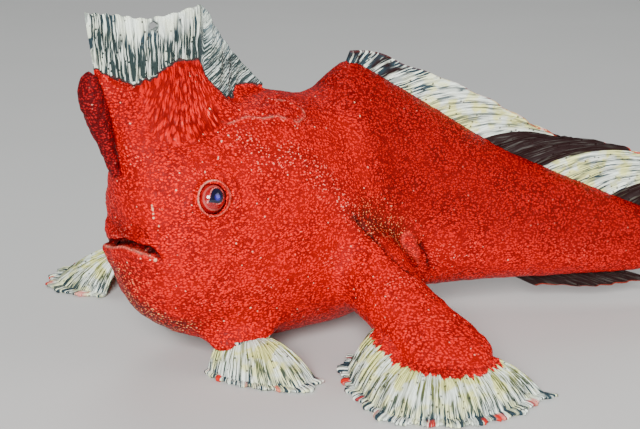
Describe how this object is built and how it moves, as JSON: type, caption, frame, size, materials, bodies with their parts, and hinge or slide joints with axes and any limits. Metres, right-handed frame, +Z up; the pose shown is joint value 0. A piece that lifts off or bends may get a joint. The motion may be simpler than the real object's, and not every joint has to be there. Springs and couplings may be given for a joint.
{
  "type": "thymichthys handfish",
  "caption": "Life-size still model of a small red handfish standing on its hand-like fins, with a fleshy crest and its head and tail turned to its left.",
  "frame": {"origin": "on the floor, under the middle of the whole fish's box", "axes": "+Z up; the body lies along X with the head toward -X; the fish's left side faces -Y"},
  "size_m": [0.1184, 0.0944, 0.0528],
  "materials": {
    "red_skin": "moist warty skin, satin",
    "white_fin": "cream fin membrane with red ray tips, satin",
    "banded_fin": "cream fin membrane with black bands, satin",
    "eye": "wet and glossy, dark pupil in a red iris"
  },
  "bodies": {
    "root": {"head": "red_skin", "torso": "red_skin", "tail": "red_skin", "lure": "red_skin", "pectoral_arm_left": "red_skin", "pectoral_arm_right": "red_skin", "eye_left": "eye", "eye_right": "eye", "first_dorsal_fin": "white_fin", "second_dorsal_fin": "banded_fin", "caudal_fin": "banded_fin", "anal_fin": "banded_fin", "pectoral_fin_left": "white_fin", "pectoral_fin_right": "white_fin", "pelvic_fin_left": "white_fin", "pelvic_fin_right": "white_fin"}
  },
  "joints": []
}
